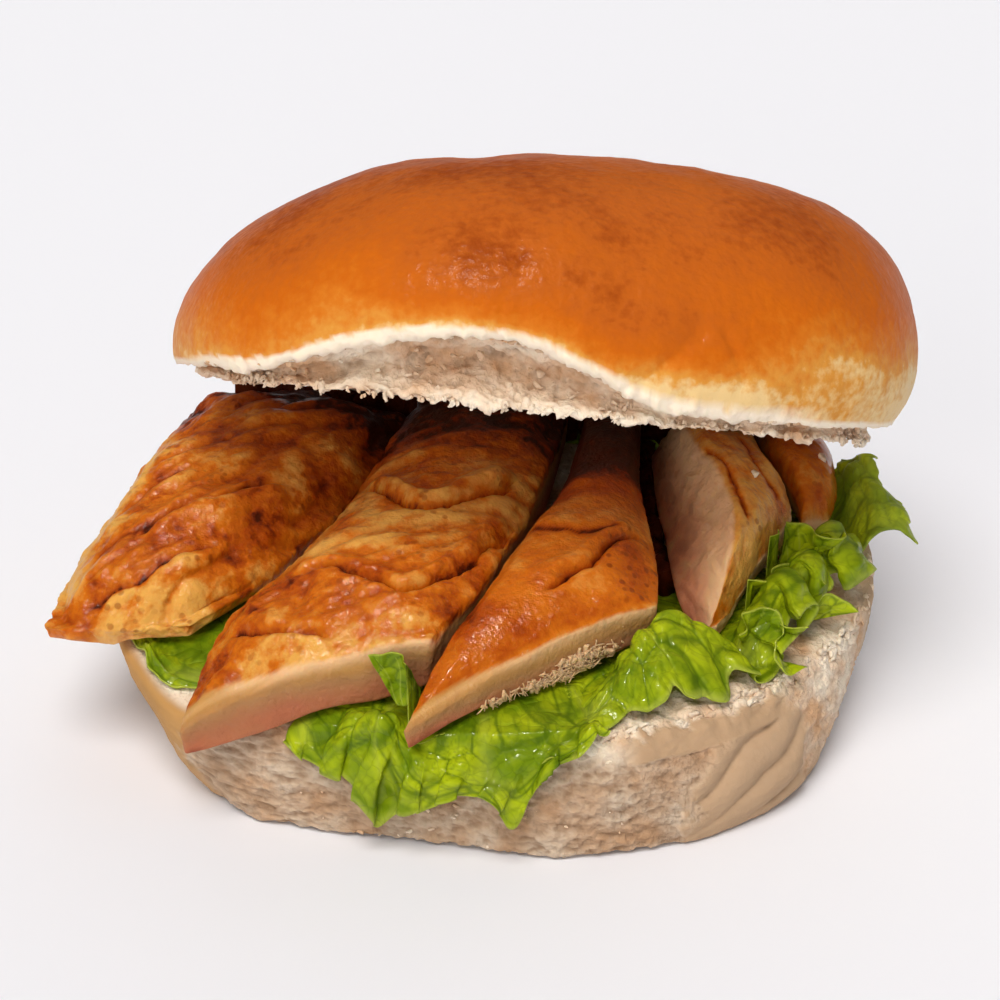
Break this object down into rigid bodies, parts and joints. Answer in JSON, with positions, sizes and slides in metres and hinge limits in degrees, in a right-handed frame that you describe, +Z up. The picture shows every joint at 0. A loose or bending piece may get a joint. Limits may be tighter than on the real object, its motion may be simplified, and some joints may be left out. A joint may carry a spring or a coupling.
{
  "type": "mackerel sandwich",
  "caption": "Soft bread roll cut open, its crown leaned back over frilly lettuce and thick slices of glazed smoked fish fillet fanned out past the rim.",
  "frame": {"origin": "centre of the heel's flat underside, where the sandwich rests", "axes": "+Z up, -Y out of the open mouth, +X to the right as seen from the mouth"},
  "size_m": [0.1393, 0.1134, 0.0945],
  "materials": {
    "crust": "thin baked crust, golden brown with a soft sheen",
    "crumb": "torn open white crumb, matt",
    "fillet": "glazed smoked fish skin side over paler cut flesh, moist",
    "leaf": "frilly lettuce, thin, veined and slightly waxy"
  },
  "bodies": {
    "root": {"bun_heel": "crumb", "bun_crown": "crust", "fillet_1": "fillet", "fillet_2": "fillet", "fillet_3": "fillet", "fillet_4": "fillet", "fillet_5": "fillet", "lettuce_front": "leaf", "lettuce_right": "leaf", "lettuce_side": "leaf", "lettuce_back": "leaf", "lettuce_left": "leaf"}
  },
  "joints": []
}
